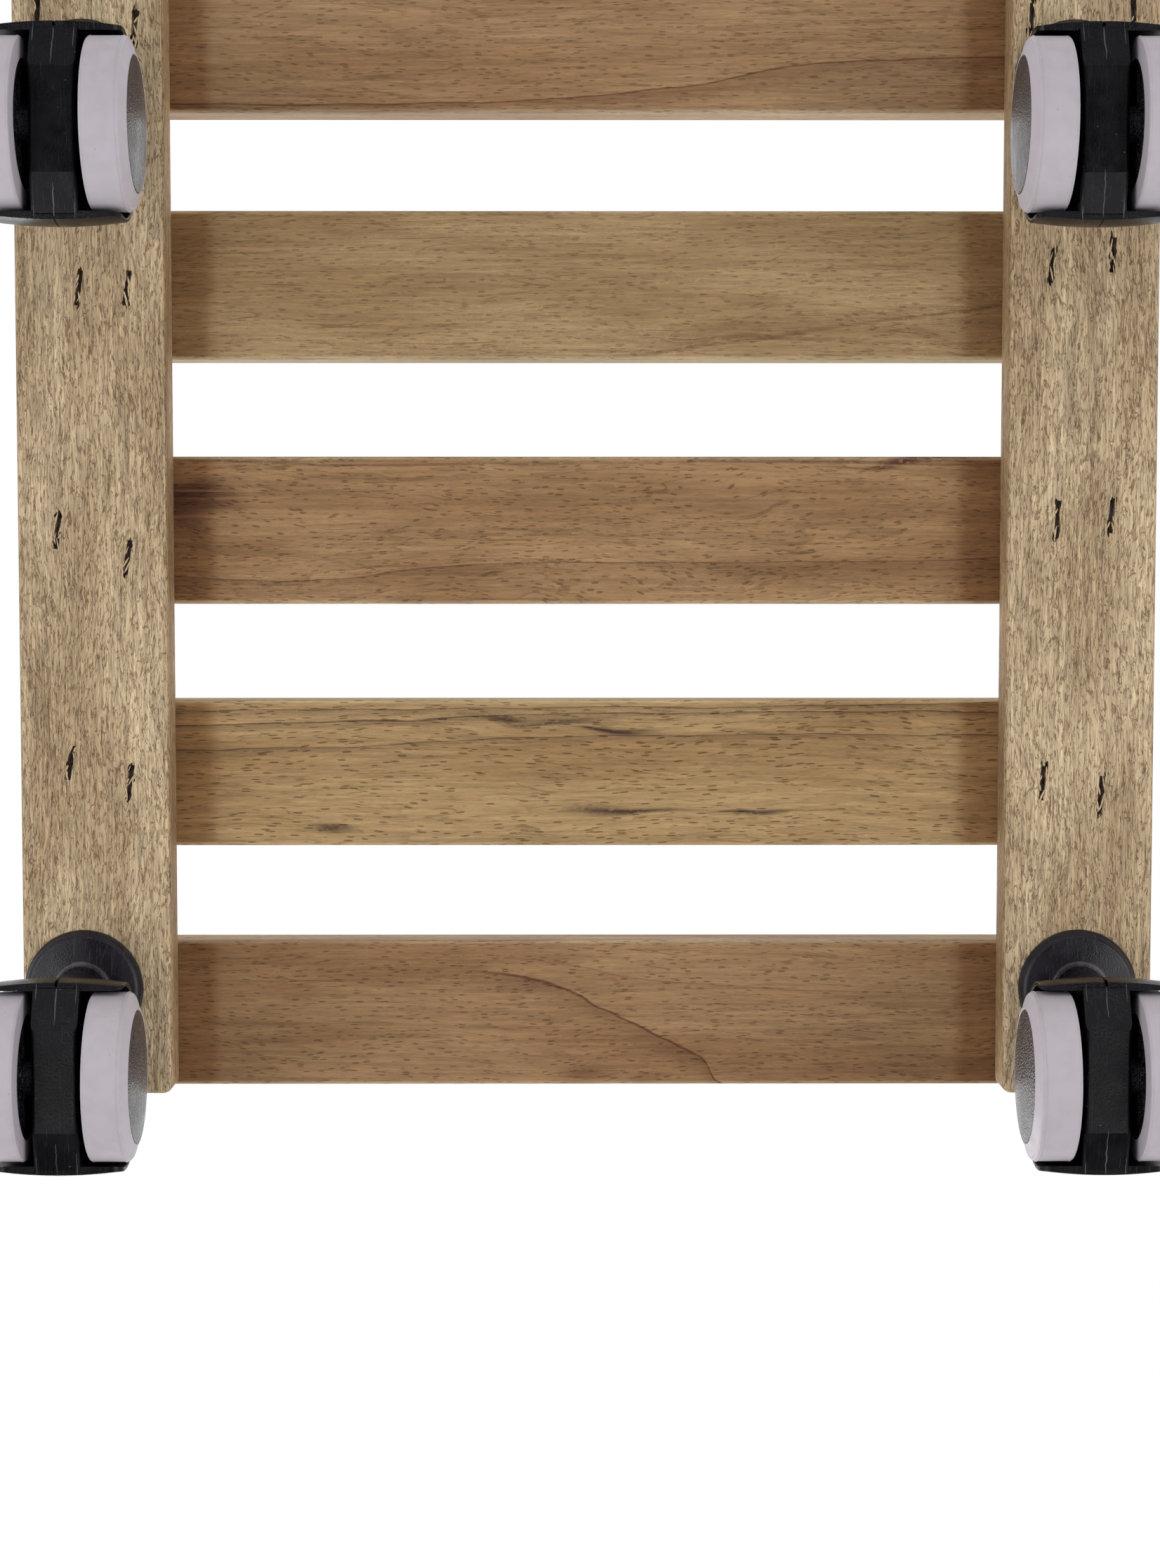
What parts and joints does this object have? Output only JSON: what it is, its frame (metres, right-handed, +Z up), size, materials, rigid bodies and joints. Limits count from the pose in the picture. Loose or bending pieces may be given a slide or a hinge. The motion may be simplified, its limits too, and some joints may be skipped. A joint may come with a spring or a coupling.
{
  "type": "plant pot caddy",
  "caption": "Square slatted wooden deck on two cross bearers, carried on twin-wheel swivel casters, for rolling heavy plant pots.",
  "frame": {"origin": "on the floor under the centre of the deck", "axes": "+Z up, X along the two bearers, Y along the five slats; the front is -Y"},
  "size_m": [0.3662, 0.3556, 0.104],
  "materials": {
    "slat_wood": "bare planed beech, ribbed top",
    "bearer_wood": "bare planed beech",
    "staple_wire": "galvanised wire",
    "socket_plastic": "black nylon, satin",
    "housing_plastic": "black nylon, fine spark-eroded texture",
    "stem_steel": "bright turned steel",
    "spring_steel": "spring steel",
    "axle_steel": "drawn steel",
    "wheel_plastic": "dark grey nylon, leather grain",
    "tread_rubber": "soft grey thermoplastic rubber"
  },
  "bodies": {
    "deck": {"slat_1": "slat_wood", "slat_2": "slat_wood", "slat_3": "slat_wood", "slat_4": "slat_wood", "slat_5": "slat_wood", "bearer_front": "bearer_wood", "staples_front": "staple_wire", "bearer_rear": "bearer_wood", "staples_rear": "staple_wire", "socket_front_left": "socket_plastic", "stem_front_left": "stem_steel", "grip_ring_front_left": "spring_steel", "stem_clip_front_left": "spring_steel", "socket_front_right": "socket_plastic", "stem_front_right": "stem_steel", "grip_ring_front_right": "spring_steel", "stem_clip_front_right": "spring_steel", "socket_rear_left": "socket_plastic", "stem_rear_left": "stem_steel", "grip_ring_rear_left": "spring_steel", "stem_clip_rear_left": "spring_steel", "socket_rear_right": "socket_plastic", "stem_rear_right": "stem_steel", "grip_ring_rear_right": "spring_steel", "stem_clip_rear_right": "spring_steel"},
    "caster_front_left": {"housing_front_left": "housing_plastic", "axle_front_left": "axle_steel"},
    "wheel_outer_front_left": {"wheel_core_outer_front_left": "wheel_plastic", "tread_outer_front_left": "tread_rubber"},
    "wheel_inner_front_left": {"wheel_core_inner_front_left": "wheel_plastic", "tread_inner_front_left": "tread_rubber"},
    "caster_front_right": {"housing_front_right": "housing_plastic", "axle_front_right": "axle_steel"},
    "wheel_outer_front_right": {"wheel_core_outer_front_right": "wheel_plastic", "tread_outer_front_right": "tread_rubber"},
    "wheel_inner_front_right": {"wheel_core_inner_front_right": "wheel_plastic", "tread_inner_front_right": "tread_rubber"},
    "caster_rear_left": {"housing_rear_left": "housing_plastic", "axle_rear_left": "axle_steel"},
    "wheel_outer_rear_left": {"wheel_core_outer_rear_left": "wheel_plastic", "tread_outer_rear_left": "tread_rubber"},
    "wheel_inner_rear_left": {"wheel_core_inner_rear_left": "wheel_plastic", "tread_inner_rear_left": "tread_rubber"},
    "caster_rear_right": {"housing_rear_right": "housing_plastic", "axle_rear_right": "axle_steel"},
    "wheel_outer_rear_right": {"wheel_core_outer_rear_right": "wheel_plastic", "tread_outer_rear_right": "tread_rubber"},
    "wheel_inner_rear_right": {"wheel_core_inner_rear_right": "wheel_plastic", "tread_inner_rear_right": "tread_rubber"}
  },
  "joints": [
    {"name": "swivel_front_left", "type": "hinge", "parent": "deck", "child": "caster_front_left", "pos_m": [-0.142, -0.156, 0.058], "axis": [0, 0, 1], "continuous": true},
    {"name": "wheel_outer_front_left_spin", "type": "hinge", "parent": "caster_front_left", "child": "wheel_outer_front_left", "pos_m": [-0.162, -0.171, 0.025], "axis": [0, 1, 0], "continuous": true},
    {"name": "wheel_inner_front_left_spin", "type": "hinge", "parent": "caster_front_left", "child": "wheel_inner_front_left", "pos_m": [-0.162, -0.141, 0.025], "axis": [0, 1, 0], "continuous": true},
    {"name": "swivel_front_right", "type": "hinge", "parent": "deck", "child": "caster_front_right", "pos_m": [0.136, -0.1535, 0.058], "axis": [0, 0, 1], "continuous": true},
    {"name": "wheel_outer_front_right_spin", "type": "hinge", "parent": "caster_front_right", "child": "wheel_outer_front_right", "pos_m": [0.116, -0.1685, 0.025], "axis": [0, 1, 0], "continuous": true},
    {"name": "wheel_inner_front_right_spin", "type": "hinge", "parent": "caster_front_right", "child": "wheel_inner_front_right", "pos_m": [0.116, -0.1385, 0.025], "axis": [0, 1, 0], "continuous": true},
    {"name": "swivel_rear_left", "type": "hinge", "parent": "deck", "child": "caster_rear_left", "pos_m": [-0.142, 0.152, 0.058], "axis": [0, 0, 1], "continuous": true},
    {"name": "wheel_outer_rear_left_spin", "type": "hinge", "parent": "caster_rear_left", "child": "wheel_outer_rear_left", "pos_m": [-0.162, 0.167, 0.025], "axis": [0, 1, 0], "continuous": true},
    {"name": "wheel_inner_rear_left_spin", "type": "hinge", "parent": "caster_rear_left", "child": "wheel_inner_rear_left", "pos_m": [-0.162, 0.137, 0.025], "axis": [0, 1, 0], "continuous": true},
    {"name": "swivel_rear_right", "type": "hinge", "parent": "deck", "child": "caster_rear_right", "pos_m": [0.136, 0.148, 0.058], "axis": [0, 0, 1], "continuous": true},
    {"name": "wheel_outer_rear_right_spin", "type": "hinge", "parent": "caster_rear_right", "child": "wheel_outer_rear_right", "pos_m": [0.116, 0.163, 0.025], "axis": [0, 1, 0], "continuous": true},
    {"name": "wheel_inner_rear_right_spin", "type": "hinge", "parent": "caster_rear_right", "child": "wheel_inner_rear_right", "pos_m": [0.116, 0.133, 0.025], "axis": [0, 1, 0], "continuous": true}
  ]
}
